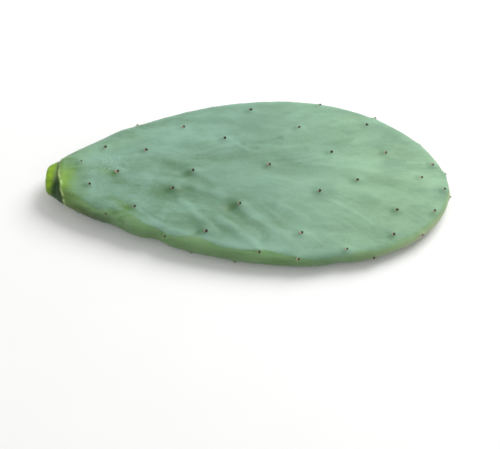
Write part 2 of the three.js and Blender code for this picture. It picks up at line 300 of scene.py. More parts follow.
def skin_frames(x, across, side):
    """For each place: its point, and the directions to the tip, sideways and out of the skin."""
    point, from_rim = skin_point(x, across, side)
    ahead = skin_point(np.minimum(x + FRAME_STEP, BLADE_LENGTH - FRAME_STEP / 4), across, side)[0]
    along = ahead - skin_point(x - FRAME_STEP, across, side)[0]
    inward = np.where(across > 0, -1.0, 1.0)
    inner = skin_point(x, across + inward * FRAME_STEP_ACROSS, side)[0]
    crossways = (inner - point) * inward[:, None]
    normal = np.cross(along, crossways) * side[:, None]
    normal /= np.linalg.norm(normal, axis=1, keepdims=True)
    tipward = along - normal * (along * normal).sum(1, keepdims=True)
    tipward /= np.linalg.norm(tipward, axis=1, keepdims=True)
    frame = np.stack([tipward, np.cross(normal, tipward), normal], 1)
    frames = {"point": point, "frame": frame, "upper": side > 0, "on_rim": from_rim < rim_radius(x)}
    return [dict(zip(frames, values)) for values in zip(*frames.values())]


AREOLES = skin_frames(*areole_places())

NOISE_LATTICE = 256
NOISE_GAIN = 1.5


def gradient_noise(u, v, seed):
    """Smooth noise from about -1 to 1 over a seeded lattice. Each use has its own seed."""
    rng = np.random.default_rng(SEED + seed)
    size = NOISE_LATTICE
    angle = rng.uniform(0, 2 * math.pi, (size, size))
    iu, iv = np.floor(u).astype(int), np.floor(v).astype(int)
    fu, fv = u - iu, v - iv
    su, sv = fu**3 * (fu * (6 * fu - 15) + 10), fv**3 * (fv * (6 * fv - 15) + 10)

    def corner(du, dv):
        a = angle[(iu + du) % size, (iv + dv) % size]
        return np.cos(a) * (fu - du) + np.sin(a) * (fv - dv)

    near = mix(corner(0, 0), corner(1, 0), su)
    far = mix(corner(0, 1), corner(1, 1), su)
    return NOISE_GAIN * mix(near, far, sv)


def layered_noise(u, v, layers, shift=0.0):
    """A sum of noise layers, each given as its length along u, its length along v, seed and height."""
    return sum(h * gradient_noise(u / long + shift, v / wide, seed) for long, wide, seed, h in layers)


# The skin's grid --------------------

TIP_MARGIN = 0.02  # the last ring stops this short of the tip, mm
STATION_SAMPLES = 4000


def station_xs():
    """Rows at even steps along the outline, so that they crowd where it turns at the tip."""
    share = np.sin(math.pi / 2 * np.linspace(0, 1, STATION_SAMPLES))
    x = mix(-STUB_LENGTH, BLADE_LENGTH - TIP_MARGIN, share)
    arc = np.concatenate([[0], np.cumsum(np.hypot(np.diff(x), np.diff(half_width(x))))])
    return np.interp(np.linspace(0, arc[-1], ROWS), arc, x)


def section_shares(x):
    """For one row: the across share, side and unrolled distance from the rim of every column."""
    radius, width = float(rim_radius(x)), float(half_width(x))
    turn = math.acos(max(-1.0, 1 - width / radius)) if width < radius else math.pi / 2
    quadrant = COLUMNS // 4
    reach = radius * turn + max(0.0, width - radius)
    column = np.arange(COLUMNS)
    side = np.where(column <= 2 * quadrant, 1.0, -1.0)
    round_half = np.where(column <= 2 * quadrant, column, COLUMNS - column)
    from_rim = np.minimum(round_half, 2 * quadrant - round_half) / quadrant * reach
    inwards = radius * (1 - np.cos(np.minimum(from_rim / radius, turn)))
    inwards = inwards + np.maximum(0, from_rim - radius * turn)
    share = np.clip(1 - inwards / width, 0, 1)
    across = np.where(round_half <= quadrant, share, -share)
    flat = np.where(round_half <= quadrant, reach - from_rim, from_rim - reach)
    return across, side, flat


def build_grid():
    xs = station_xs()
    rows = [section_shares(x) for x in xs]
    across, side, flat = (np.stack([row[i] for row in rows]) for i in range(3))
    x = np.repeat(xs[:, None], COLUMNS, 1)
    points, from_rim = skin_point(x, across, side)
    return {"x": x, "side": side, "flat": flat, "points": points, "from_rim": from_rim}


def grid_normals(points):
    along = np.gradient(points, axis=0)
    around = np.roll(points, -1, 1) - np.roll(points, 1, 1)
    normal = np.cross(around, along)
    normal /= np.maximum(np.linalg.norm(normal, axis=2, keepdims=True), 1e-9)
    return normal


# Relief of the skin --------------------

# A tubercle and the dip behind it
TUBERCLE = {
    "height": 1.3, "base_side": 3.6, "tip_side": 5.6, "across": 3.8, "peak": 0.9, "reach": 22,
    "dip": 0.35, "dip_at": -7, "dip_long": 5, "dip_wide": 4.5,
}
RIM_TUBERCLE = {
    "height": 1, "base_side": 2.8, "tip_side": 4, "across": 2.8, "peak": 0.7, "reach": 14,
    "dip": 0.15, "dip_at": -5, "dip_long": 3.5, "dip_wide": 3.5,
}
TUBERCLE_POWER = 2.2
TUBERCLE_SIZES = (0.8, 1.2)
TUBERCLE_BY_NECK, TUBERCLE_GROWN = 0.7, (0, 40)
TUBERCLE_FADE = 6  # along the areole's own normal, so that it leaves the other face alone
AREOLE_SHIFT = 1.2  # the areole sits on the tip side of its tubercle, mm
AREOLE_PIT = 0.3  # where the belly is pressed flat, its areoles lie this much higher, mm
AREOLE_CLEARING = 3  # how far the wrinkles keep off an areole, mm
CLEARED = 0.7

# The dips behind the areoles are deepest, and their trails of worn wax and painted shade darkest, about here
# on the upper face
BOLD_AT, BOLD_HALF_LENGTH = 125, 62
BOLD_ACROSS = (16, -4)
BOLD_BUMP, BOLD_DIP = 0.3, 1.5

# The trail behind an areole, worn wax and painted shade on its side away from the light: which way it runs,
# then its plain form and its bold one
TRAIL_BACK, TRAIL_ASIDE = 0.85, 0.52
TRAIL_MIDDLE, TRAIL_HALF_LENGTH, TRAIL_HALF_WIDTH = (3.4, 6.2), (3.4, 5.6), (2.5, 3.2)
TRAIL_PLAIN, TRAIL_PLAIN_RANGE, TRAIL_BOLD = 0.25, (0.4, 1.6), 0.9

# Folds and creases of the upper face: start, end, width, height
FOLDS = [
    ((80, 14), (130, -14), 6, -1),
    ((40, -6), (100, -24), 11, -0.6),
    ((100, -5), (140, -22), 4, 0.45),
    ((103, -15), (150, -34), 6, -0.6),
    ((101, -23), (136, -60), 3.4, 0.75),
    ((112, -34), (142, -62), 3.5, -0.3),
    ((92, -38), (122, -58), 6, -0.6),
    ((134, -43), (168, -71), 3.6, 0.75),
    ((140, -32), (175, -62), 5, -1.6),
    ((152, -29), (180, -50), 4.5, 0.4),
    ((184, -27), (212, -44), 3, 0.35),
    ((232, -25), (264, -47), 4, 0.4),
    ((162, 35), (192, 45), 1.6, -1.4),
    ((154, 36), (170, 31), 1.8, -1.1),
    ((138, 43), (162, 29), 2.4, 0.7),
    ((178, 28), (214, 33), 2.4, -0.5),
    ((200, 17), (270, 8), 2.6, 0.25),
]
FOLD_WAVER = [(14, 1, 31, 1.5)]
FOLD_LANE = (0.37, 0.61)  # from a fold's start to the row of noise that it wavers by
FOLD_END = 2.2  # how long each end of a fold takes to rise, in widths of the fold
FOLD_FADE = (0, 10)  # by distance from the rim


def tubercle(form, along, beside, bold):
    """The height of one tubercle, less the dip behind it."""
    long = np.where(along < form["peak"], form["base_side"], form["tip_side"])
    reach = np.hypot((along - form["peak"]) / long, beside / form["across"])
    bump = form["height"] * np.exp(-(reach**TUBERCLE_POWER))
    dip = form["dip"] * bell(along - form["dip_at"], form["dip_long"]) * bell(beside, form["dip_wide"])
    return (1 + BOLD_BUMP * bold) * bump - (1 + BOLD_DIP * bold) * dip


def worn_and_shaded_trail(along, beside, bold):
    """Where the wax is worn, and shade painted, on the slant behind an areole away from the light."""
    behind = -TRAIL_BACK * along - TRAIL_ASIDE * beside
    aside = TRAIL_ASIDE * along - TRAIL_BACK * beside
    forms = (TRAIL_MIDDLE, TRAIL_HALF_LENGTH, TRAIL_HALF_WIDTH)
    middle, long, wide = (mix(*ends, bold) for ends in forms)
    return bell(behind - middle, long) * bell(aside, wide)


def tubercle_heights(points):
    """Height that the tubercles add, how close each point is to an areole, and the trails of worn wax and
    painted shade.
    """
    flat_points = points.reshape(-1, 3)
    height, close, wear_and_shade_trail = (np.zeros(len(flat_points)) for _ in range(3))
    rng = np.random.default_rng(SEED + 1)
    for areole in AREOLES:
        x, y = areole["point"][:2]
        form = RIM_TUBERCLE if areole["on_rim"] else TUBERCLE
        size = rng.uniform(*TUBERCLE_SIZES) * mix(TUBERCLE_BY_NECK, 1.0, fade(x, TUBERCLE_GROWN))
        bold = bell(x - BOLD_AT, BOLD_HALF_LENGTH) * fade(y, BOLD_ACROSS) * areole["upper"]
        plain = TRAIL_PLAIN * rng.uniform(*TRAIL_PLAIN_RANGE)
        gap = flat_points - areole["point"]
        near = np.nonzero((np.abs(gap) < form["reach"]).all(1))[0]
        along, beside, above = areole["frame"] @ gap[near].T
        here = bell(above, TUBERCLE_FADE)
        height[near] += size * tubercle(form, along, beside, bold) * here
        spot = bell(np.hypot(along - AREOLE_SHIFT, beside), AREOLE_CLEARING) * here
        close[near] = np.maximum(close[near], spot)
        # Worn wax and painted shade behind the areole
        worn = mix(plain, TRAIL_BOLD, bold) * worn_and_shaded_trail(along, beside, bold) * here
        wear_and_shade_trail[near] = np.maximum(wear_and_shade_trail[near], worn)
    return (values.reshape(points.shape[:2]) for values in (height, close, wear_and_shade_trail))


def fold_heights(x, y):
    height = np.zeros_like(x)
    for (x0, y0), (x1, y1), width, rise in FOLDS:
        length = math.hypot(x1 - x0, y1 - y0)
        dx, dy = (x1 - x0) / length, (y1 - y0) / length
        along = (x - x0) * dx + (y - y0) * dy
        lane = np.full_like(along, FOLD_LANE[0] * x0 + FOLD_LANE[1] * y0)
        beside = (y - y0) * dx - (x - x0) * dy + layered_noise(along, lane, FOLD_WAVER)
        ends = smooth((along + width) / (FOLD_END * width))
        ends = ends * smooth((length + width - along) / (FOLD_END * width))
        height += rise * bell(beside, width) * ends
    return height


# Wrinkles run in lanes that leave the middle line and bend out towards the rim, more on the near side
FAN_SOFTNESS = 16
FAN_NEAR, FAN_FAR = 0.0115, 0.006
UNDERSIDE_SHIFT = 57  # so that the two faces read different noise

# Layers of noise: length along, length across in millimetres or in lanes, seed, height
LANE_WAVER = [(34, 21, 2, 0.045)]
WRINKLES = [(48, 1 / 9.5, 3, 0.22), (30, 1 / 19, 4, 0.09)]
CREASES = [(60, 1 / 7, 6, 1)]
CREASE_WIDTH, CREASE_DEPTH = 0.55, 0.16
WRINKLED_PATCHES = [(55, 40, 7, 1.1)]
BROAD_WAVES = [(70, 24, 5, 0.42)]
WRINKLES_LEAVE, WRINKLES_FROM_NECK, WRINKLES_FROM_RIM = (0, 10), (4, 26), (0, 14)


def wrinkle_heights(x, y, side, from_rim):
    fan = np.where(y * side < 0, FAN_NEAR, FAN_FAR)
    lane = np.log((np.abs(y) + FAN_SOFTNESS) / FAN_SOFTNESS) - fan * x
    lane = lane * np.where(y < 0, -1, 1) + layered_noise(x, y, LANE_WAVER)
    shift = np.where(side > 0, 0.0, UNDERSIDE_SHIFT)
    crease = np.maximum(0, CREASE_WIDTH - np.abs(layered_noise(x, lane, CREASES, shift))) / CREASE_WIDTH
    wrinkles = layered_noise(x, lane, WRINKLES, shift) - CREASE_DEPTH * crease**2
    wrinkled = smooth(0.5 + layered_noise(x, y, WRINKLED_PATCHES, shift)) * fade(np.abs(y), WRINKLES_LEAVE)
    height = layered_noise(x, y, BROAD_WAVES, shift) + wrinkled * wrinkles
    return height * fade(from_rim, WRINKLES_FROM_RIM) * fade(x, WRINKLES_FROM_NECK)


RIM_WAVINESS = [(17, 1, 8, 0.35), (6, 1, 9, 0.16)]
FAR_RIM_SHIFT = 90
UNEVEN_RIM, UNEVEN_FROM_NECK = (16, 0), (0, 10)


def rim_heights(x, flat, from_rim):
    """Slight unevenness along the rim."""
    lane = np.where(flat > 0, 0.0, FAR_RIM_SHIFT)
    uneven = layered_noise(x, lane, RIM_WAVINESS, lane)
    return uneven * fade(from_rim, UNEVEN_RIM) * fade(x, UNEVEN_FROM_NECK)


LIP_PUCKERS = [(4.2, 5, 10, 0.28)]
PUCKERS_AT, PUCKERS_HALF_LENGTH = 1.8, 2.4
STUB_WRINKLES = [(5, 16, 11, 0.3), (2, 6, 12, 0.12)]
STUB_WRINKLED = (0, -2)
NECK_UNDERSIDE_SHIFT = 61


def neck_heights(x, flat, side):
    """Puckers of the lip and shrinkage wrinkles along the stub."""
    around = flat + np.where(side > 0, 0, NECK_UNDERSIDE_SHIFT)
    lip = bell(x - PUCKERS_AT, PUCKERS_HALF_LENGTH) * layered_noise(around, x, LIP_PUCKERS)
    return lip + fade(x, STUB_WRINKLED) * layered_noise(around, x, STUB_WRINKLES)


# Building meshes --------------------


def mesh_object(name, points, faces):
    """A smooth-shaded mesh object from pad-frame points in millimetres."""
    mesh = bpy.data.meshes.new(name)
    mesh.from_pydata(to_row(points).tolist(), [], faces)
    mesh.update()
    mesh.polygons.foreach_set("use_smooth", [True] * len(mesh.polygons))
    piece = bpy.data.objects.new(name, mesh)
    bpy.context.scene.collection.objects.link(piece)
    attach(piece, "root")
    return piece


def add_mask(piece, name, values):
    attribute = piece.data.attributes.new(name, "FLOAT", "POINT")
    attribute.data.foreach_set("value", np.ravel(values).astype(np.float32))


def add_unwrap(piece, u, v):
    layer = piece.data.uv_layers.new(name="OFBake")
    layer.data.foreach_set("uv", np.stack([u, v], -1).astype(np.float32).ravel())


def loop_vertices(piece):
    corner = np.empty(len(piece.data.loops), int)
    piece.data.loops.foreach_get("vertex_index", corner)
    return corner


def grid_faces(rows, first, columns):
    """Quads of a grid closed round its columns, its first vertex at the index given."""
    column = np.arange(columns)
    base = first + np.arange(rows - 1)[:, None] * columns
    here, right = base + column[None, :], base + (column[None, :] + 1) % columns
    return np.stack([here, here + columns, right + columns, right], -1).reshape(-1, 4)


# The skin and its healed cut --------------------

BUNDLES, BUNDLE_DEPTH, BUNDLE_SWING = 23, 0.35, 0.4
BUNDLES_AT, BUNDLES_HALF_WIDTH = 0.62, 0.14  # as shares of the way out to the edge
CUT_ROUGHNESS = [(2.1, 2.1, 14, 0.22)]


def cut_relief(ring, reach):
    """The healed cut: a fibrous ring of bundles round a sunken pith."""
    angle = np.arctan2(ring[:, 2] - ring[:, 2].mean(), ring[:, 1] - ring[:, 1].mean())
    swing = 1 - BUNDLE_SWING + BUNDLE_SWING * np.cos(BUNDLES * angle)
    bundles = BUNDLE_DEPTH * bell(reach - BUNDLES_AT, BUNDLES_HALF_WIDTH) * swing
    return layered_noise(ring[:, 1], ring[:, 2], CUT_ROUGHNESS) - bundles


def cap_rings(outer):
    """Rings from just inside the cut's outer ring to near its middle, dished, and the middle point."""
    middle = outer.mean(0)
    rings = []
    for step in range(1, CUT_RINGS):
        reach = 1 - step / CUT_RINGS
        ring = middle + (outer - middle) * reach
        ring[:, 0] += CUT_DISH * (1 - reach**2) + cut_relief(ring, reach)
        rings.append(ring)
    return np.stack(rings), middle + [CUT_DISH, 0, 0]


# How far in from the near rim the wax is rubbed off, by lobes: x, extra width, half length
RUBBED_LOBES = [
    (14, 2.6, 12), (60, 6.4, 14), (119, 4.2, 13), (172, 2.8, 14), (254, 1.8, 9),
    (300, 1.5, 28),
]
RUBBED_NECK, RUBBED_TIP, RUBBED_NARROWS = 3.9, 1.6, (192, 222)
RUBBED_FAR, FAR_SOFTNESS = -0.6, 24
RUBBED_BELOW, BELOW_SOFTNESS = 5, 2.5
# How soft its edge is: by the neck, along the base, by the tip, and in lobes like those above
SOFT_NECK, SOFT_NECK_SPAN = 2, (45, 20)
SOFT_BASE, SOFT_TIP, SOFT_TIP_SPAN = 1.8, 5.5, (185, 230)
SOFT_LOBES = [(52, 5, 18), (119, 2.5, 16)]
TURNED_UNDER = (3.4, -1.2)  # by distance over the rim
# The thicker wax just inside the rubbed rim; along the far side it is also painted light
BAND_GAP, BAND_WIDTH = 1, 9
NEAR_BAND_START, NEAR_BAND_END, FAR_BAND_PAINTED_LIGHT_START = (55, 85), (295, 225), (70, 130)
# Patches of the upper face: x, y, half length, half width, slope
BARE_BLOTCHES = [(56, -35, 14, 4, -0.7), (39, 0, 9, 4.2, -0.3)]
THICK_PATCHES = [
    (50, -20, 20, 5, -0.2), (92, 36, 40, 14, 0.2), (40, 24, 22, 9, 0.45),
    (326, 8, 14, 24, 0),
]
GREENER_PATCH = (42, 30, 30, 9, 0.45)
# Where the wax thins in the shallow valley: painted shade
VALLEY_PAINTED_SHADE_PATCH = (130, -36, 56, 21, -0.1)
FLECKED_PATCH = (42, 8, 15, 11, 0)

# The lip slants tipwards on the near side: where it starts, then each shift and the span across
LIP_START = -0.3
LIP_SHIFTS = [(3.2, (-2, -16)), (2, (-20, -25))]
LIP_HALF_BREADTH, LIP_FAINT, LIP_PLAIN = 0.75, 0.3, (8, 0)

# Spans of the zones: along the pad for the first line, from the lip, then across. The stub's end carries
# painted light, its near side and underside painted shade
NECK_SPAN, BASE_SPAN, GREENER_SPAN, STUB_PAINTED_LIGHT_SPAN = (28, 2), (65, 30), (34, 12), (-3, -7.4)
YOUNG_SPAN, STUB_SPAN = (22, 2), (-0.4, -1.6)
STUB_PAINTED_SHADE_SPAN, STUB_PAINTED_LIGHT_FADE, STUB_PAINTED_LIGHT_FADING = (-1, -14), (-12.5, -20.5), 0.85
YOUNG_MIDDLE, YOUNG_HALF_WIDTH, YOUNG_ELSEWHERE = -8, 12, 0.25
GREENER, GREENER_BY_NECK, GREENER_BLOTCH = 0.14, 0.18, 0.22
# How strongly the painted shade by the base follows the rim's underside
BASE_PAINTED_SHADE_GAIN = 1.3
RAGGED_EDGE = [(19, 13, 15, 1)]
FACE_SHIFT = 520  # so that the two faces read different noise


def lip_place(y):
    return LIP_START + sum(shift * fade(y, span) for shift, span in LIP_SHIFTS)


def patch(x, y, form):
    at_x, at_y, half_long, half_wide, slope = form
    return bell(x - at_x, half_long) * bell(y - at_y - slope * (x - at_x), half_wide)


def lobes(x, forms):
    return sum(width * bell(x - at, half_length) for at, width, half_length in forms)


def rubbed_rim(x, y, over_rim):
    """Where the rim's wax is rubbed off, where the rim turns under, and the thicker wax just inside, which
    along the far side is also painted light.
    """
    far = edge(y - sideways_bow(x), FAR_SOFTNESS)
    width = mix(RUBBED_NECK, RUBBED_TIP, fade(x, RUBBED_NARROWS)) + lobes(x, RUBBED_LOBES)
    width = mix(width, RUBBED_FAR, far)
    soft = mix(SOFT_BASE, SOFT_TIP, fade(x, SOFT_TIP_SPAN)) + SOFT_NECK * fade(x, SOFT_NECK_SPAN)
    bare = edge(width - over_rim, soft + lobes(x, SOFT_LOBES))
    bare = bare * edge(over_rim + RUBBED_BELOW, BELOW_SOFTNESS)
    band = bell(np.maximum(0, over_rim - width - BAND_GAP), BAND_WIDTH) * (1 - bare)
    near = fade(x, NEAR_BAND_START) * fade(x, NEAR_BAND_END)
    return bare, fade(over_rim, TURNED_UNDER), band * mix(near, fade(x, FAR_BAND_PAINTED_LIGHT_START), far)


def zone_masks(grid, wear_and_shade_trail, relief):
    """The masks that the colours go by. A number before ragged is how far an edge wanders, in mm."""
    x, y, side = grid["x"], grid["points"][..., 1], grid["side"]
    ragged = layered_noise(x, y + FACE_SHIFT * side, RAGGED_EDGE)
    bare, under, band = rubbed_rim(x, y, grid["from_rim"] * side + 0.8 * ragged)
    upper = side > 0
    blotch = sum(patch(x + 3 * ragged, y, form) for form in BARE_BLOTCHES)
    thick = sum(patch(x, y + 3 * ragged, form) for form in THICK_PATCHES)
    from_lip = x - lip_place(y)
    at_neck = mix(YOUNG_ELSEWHERE, 1.0, bell(y - YOUNG_MIDDLE, YOUNG_HALF_WIDTH))
    at_neck = at_neck * fade(from_lip + 3 * ragged, YOUNG_SPAN)
    greener = GREENER * patch(x + 5 * ragged, y, GREENER_PATCH) + GREENER_BY_NECK * fade(x, GREENER_SPAN)
    return {
        "rim": bare,
        "rim_under": under,
        "neck": fade(x + 6 * ragged, NECK_SPAN),
        # Painted shade along the rim's underside by the base
        "base_painted_shade": np.clip(BASE_PAINTED_SHADE_GAIN * under, 0, 1) * fade(x, BASE_SPAN),
        "young": np.maximum(at_neck, (greener + GREENER_BLOTCH * blotch) * upper),
        "stub": fade(from_lip, STUB_SPAN),
        # The stub's painted light on its end, dimmed towards the near side, and its painted shade on the
        # near side and underside
        "stub_painted_light": fade(x - 1.5 * ragged, STUB_PAINTED_LIGHT_SPAN) * (1 - STUB_PAINTED_LIGHT_FADING * fade(y, STUB_PAINTED_LIGHT_FADE)),
        "stub_painted_shade": np.maximum(fade(y, STUB_PAINTED_SHADE_SPAN), (1 - side) / 2),
        "lip": bell(from_lip - 0.3 * ragged, LIP_HALF_BREADTH) * mix(LIP_FAINT, 1.0, fade(y, LIP_PLAIN)),
        # Thicker wax, which along the far rim is also painted light
        "band": np.maximum(band, thick * upper),
        "blotch": blotch * upper,
        # Painted shade in the shallow valley
        "painted_shade": patch(x, y, VALLEY_PAINTED_SHADE_PATCH) * upper,
        "flecks": patch(x, y, FLECKED_PATCH) * upper,
        "wear_and_shade_trail": wear_and_shade_trail,
        # The relief's height: the wax thins in creases and thickens on ridges, a painted shade
        "relief": np.clip(0.5 + relief, 0, 1),
        "along": share_along(x),
        "cut": np.zeros_like(x),
    }


# What the masks are on the cut's own points and on the last point of the tip, where they aren't 0
MASK_ON_CUT = {"cut": 1, "stub": 1, "stub_painted_light": 1, "stub_painted_shade": 1, "neck": 1}
MASK_AT_TIP = {"rim": 1, "along": 1, "relief": 0.5}
# The unwrapped skin: the gap between its islands, their middle lines and the cut's corner
ISLAND_GAP, ISLAND_SPARE = 0.02, 4
ISLAND_SCALE = (1 - 3 * ISLAND_GAP) / (BLADE_LENGTH + STUB_LENGTH + ISLAND_SPARE)
UPPER_ISLAND, LOWER_ISLAND, CUT_ISLAND = 0.25, 0.75, (0.04, 0.02)


def unwrap_skin(piece, grid, cut_points):
    """An even unwrap: the upper face and the lower face side by side, the cut in a corner."""
    corner = loop_vertices(piece)
    body_count = ROWS * COLUMNS
    on_body = corner < body_count
    column = np.where(on_body, corner % COLUMNS, 0)
    total = np.empty(len(piece.data.polygons), int)
    piece.data.polygons.foreach_get("loop_total", total)
    face_of = np.repeat(np.arange(len(total)), total)
    first = np.full(len(total), COLUMNS)
    last = np.zeros(len(total), int)
    np.minimum.at(first, face_of, column)
    np.maximum.at(last, face_of, column)
    lower = (last - first > 1) | (first >= COLUMNS // 2)
    body = np.where(on_body, corner, 0)
    u = (grid["x"].ravel()[body] + STUB_LENGTH) * ISLAND_SCALE + ISLAND_GAP
    v = np.where(lower[face_of], LOWER_ISLAND, UPPER_ISLAND) + grid["flat"].ravel()[body] * ISLAND_SCALE
    on_cut = np.clip(corner - body_count, 0, len(cut_points) - 1)
    cut_u = CUT_ISLAND[0] + (cut_points[:, 1] - cut_points[:, 1].min()) * ISLAND_SCALE
    cut_v = CUT_ISLAND[1] + (cut_points[:, 2] - cut_points[:, 2].min()) * ISLAND_SCALE
    add_unwrap(piece, np.where(on_body, u, cut_u[on_cut]), np.where(on_body, v, cut_v[on_cut]))


def skin_faces():
    """Faces of the body, of the ring that joins it to the cut, of the cut and of its two ends."""
    body_count = ROWS * COLUMNS
    here = np.arange(COLUMNS)
    there = (here + 1) % COLUMNS
    joint = np.stack([here, there, body_count + there, body_count + here], -1)
    cut = grid_faces(CUT_RINGS - 1, body_count, COLUMNS)[:, ::-1]
    last_ring = body_count + (CUT_RINGS - 2) * COLUMNS
    middle = last_ring + COLUMNS
    last_row = body_count - COLUMNS
    faces = np.concatenate([grid_faces(ROWS, 0, COLUMNS), joint, cut]).tolist()
    faces += [(last_ring + a, last_ring + b, middle) for a, b in zip(here, there)]
    faces += [(last_row + b, last_row + a, middle + 1) for a, b in zip(here, there)]
    return [tuple(face) for face in faces]


def raised_grid():
    """The grid with its relief, and the masks for its colours."""
    grid = build_grid()
    x, y, side, from_rim = grid["x"], grid["points"][..., 1], grid["side"], grid["from_rim"]
    normal = grid_normals(grid["points"])
    tubercles, close, wear_and_shade_trail = tubercle_heights(grid["points"])
    wrinkles = wrinkle_heights(x, y - sideways_bow(x), side, from_rim)
    folds = fold_heights(x, y) * (side > 0) * fade(from_rim, FOLD_FADE)
    relief = wrinkles + folds + rim_heights(x, grid["flat"], from_rim)
    relief = relief * (1 - CLEARED * close) + neck_heights(x, grid["flat"], side)
    points = grid["points"] + normal * (relief + tubercles)[..., None]
    points[..., 2] = np.maximum(points[..., 2], GROUND + AREOLE_PIT * close)
    grid["raised"] = points
    return grid, zone_masks(grid, wear_and_shade_trail, wrinkles + folds)


def build_skin(grid, masks):
    rings, middle = cap_rings(grid["raised"][0])
    tip = skin_point(BLADE_LENGTH, 0.0, 1.0)[0]
    cut_points = np.concatenate([rings.reshape(-1, 3), [middle]])
    vertices = np.concatenate([grid["raised"].reshape(-1, 3), cut_points, [tip]])
    piece = mesh_object("pad_skin", vertices, skin_faces())
    for name, values in masks.items():
        on_cut = np.full(len(cut_points), MASK_ON_CUT.get(name, 0.0))
        at_tip = [MASK_AT_TIP.get(name, 0.0)]
        add_mask(piece, name, np.concatenate([values.ravel(), on_cut, at_tip]))
    unwrap_skin(piece, grid, np.concatenate([cut_points, [tip]]))
    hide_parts("pad")
    return piece


# The areoles: felt with a brush of glochids on its tip side --------------------

SEAT_REACH, SEAT_HALF_WIDTH, SEAT_HALF_HEIGHT = 5, 0.9, 4  # the skin that a seat is measured on
AREOLE_SIZES, SIZE_ON_RIM = (0.85, 1.15), 0.8
SIZE_BY_NECK, FULL_FROM_NECK = 0.5, (0, 45)
SIZE_BY_TIP, LESS_BY_TIP = 0.75, (290, 330)


def areole_seats(grid):
    """Where each areole sits on the raised skin, with its frame and a random size."""
    rng = np.random.default_rng(SEED + 2)
    raised = grid["raised"].reshape(-1, 3)
    seats = []
    for areole in AREOLES:
        x, frame = areole["point"][0], areole["frame"]
        middle = areole["point"] + frame[0] * AREOLE_SHIFT
        gap = raised[(np.abs(raised - middle) < SEAT_REACH).all(1)] - middle
        along, beside, above = frame @ gap.T
        weight = bell(np.hypot(along, beside), SEAT_HALF_WIDTH) * bell(above, SEAT_HALF_HEIGHT)
        middle = middle + frame[2] * (weight * above).sum() / weight.sum()
        size = rng.uniform(*AREOLE_SIZES) * (SIZE_ON_RIM if areole["on_rim"] else 1.0)
        size *= mix(SIZE_BY_NECK, 1.0, fade(x, FULL_FROM_NECK)) * mix(1.0, SIZE_BY_TIP, fade(x, LESS_BY_TIP))
        seats.append({"middle": middle, "frame": frame, "size": size})
    return seats


# Each clearance is how far off the ground it is kept under the belly. Bristles stand at bed height
FELT = {
    "ahead": -0.4, "long": 1.7, "wide": 1.4, "height": 0.75, "sunk": 0.35, "bed": 0.4,
    "rings": 7, "sides": 22, "clearance": 0.12,
}
TUFT = {
    "ahead": 0.3, "long": 1.15, "wide": 1.05, "height": 0.85, "sunk": 0.3, "bed": 0.85,
    "rings": 5, "sides": 14, "clearance": 0.09,
}
FELT_HAIRS = {
    "count": 46, "length": (0.35, 0.8), "radius": 0.045, "sunk": 0.1, "splay": 1.1, "lean": -0.1,
    "clearance": 0.06,
}
GLOCHIDS = {
    "count": 40, "length": (0.8, 1.6), "radius": 0.075, "sunk": 0.25, "splay": 0.75, "lean": 0.25,
    "clearance": 0,
}
FELT_SIZES = (0.65, 1.1)  # from well-worn felt to full felt
DOME_TOP = 0.94  # how far up its quarter turn a dome's last ring lies
DOME_LUMPS, DOME_BUMPS = 0.09, 0.05
BED_SHARE = 0.8  # of a dome's reach that bristles stand on
SPLAY_SCATTER, DROOP = 0.12, 0.1
NEARLY_ALONG = 0.7  # a bristle that leans further along than this is framed by y instead of x
# A bristle's waist: how far up it is, its share of the droop and of the radius
WAIST_AT, WAIST_DROOP, WAIST_RADIUS = 0.55, 0.3, 0.75


def dome(form, rng):
    """A lumpy dome in its own frame: rings from the foot to the crown, and the crown point."""
    turn = np.linspace(0, 2 * math.pi, form["sides"], endpoint=False)
    rise = np.linspace(0, DOME_TOP, form["rings"])[:, None]
    lumps = DOME_LUMPS * rng.standard_normal((form["rings"], form["sides"]))
    reach = np.cos(math.pi / 2 * rise) * (1 + lumps)
    long = form["long"] * reach * np.cos(turn)
    wide = form["wide"] * reach * np.sin(turn)
    up = form["height"] * np.sin(math.pi / 2 * rise) + DOME_BUMPS * rng.standard_normal(reach.shape)
    rings = np.stack([long, wide, up], -1).reshape(-1, 3)
    return np.concatenate([rings, [[0, 0, form["height"]]]])


def dome_faces(form):
    """Sides, crown and foot of a dome."""
    sides, top = form["sides"], form["rings"] * form["sides"]
    here = np.arange(sides)
    there = (here + 1) % sides
    quads = grid_faces(form["rings"], 0, sides)[:, ::-1].tolist()
    crown = [(top - sides + a, top - sides + b, top) for a, b in zip(here, there)]
    return [tuple(q) for q in quads] + crown + [tuple(here[::-1])]


def bristles(root, direction, length, radius, droop):
    """Three-sided bristles, slightly bent, each with a sharp end: seven points a bristle."""
    helper = np.where(np.abs(direction[:, :1]) < NEARLY_ALONG, [[1.0, 0, 0]], [[0, 1.0, 0]])
    u = np.cross(direction, helper)
    u /= np.linalg.norm(u, axis=1, keepdims=True)
    v = np.cross(direction, u)
    turn = np.arange(3) * 2 * math.pi / 3
    around = u[:, None] * np.cos(turn)[:, None] + v[:, None] * np.sin(turn)[:, None]
    middle = root + direction * length[:, None] * WAIST_AT + droop * WAIST_DROOP
    end = root + direction * length[:, None] + droop
    foot = root[:, None] + around * radius
    waist = middle[:, None] + around * radius * WAIST_RADIUS
    return np.concatenate([foot, waist, end[:, None]], 1)


BRISTLE_FACES = [(0, 1, 4, 3), (1, 2, 5, 4), (2, 0, 3, 5), (3, 4, 6), (4, 5, 6), (5, 3, 6), (2, 1, 0)]
BRISTLE_TIPNESS = [0, 0, 0, 0.4, 0.4, 0.4, 1]


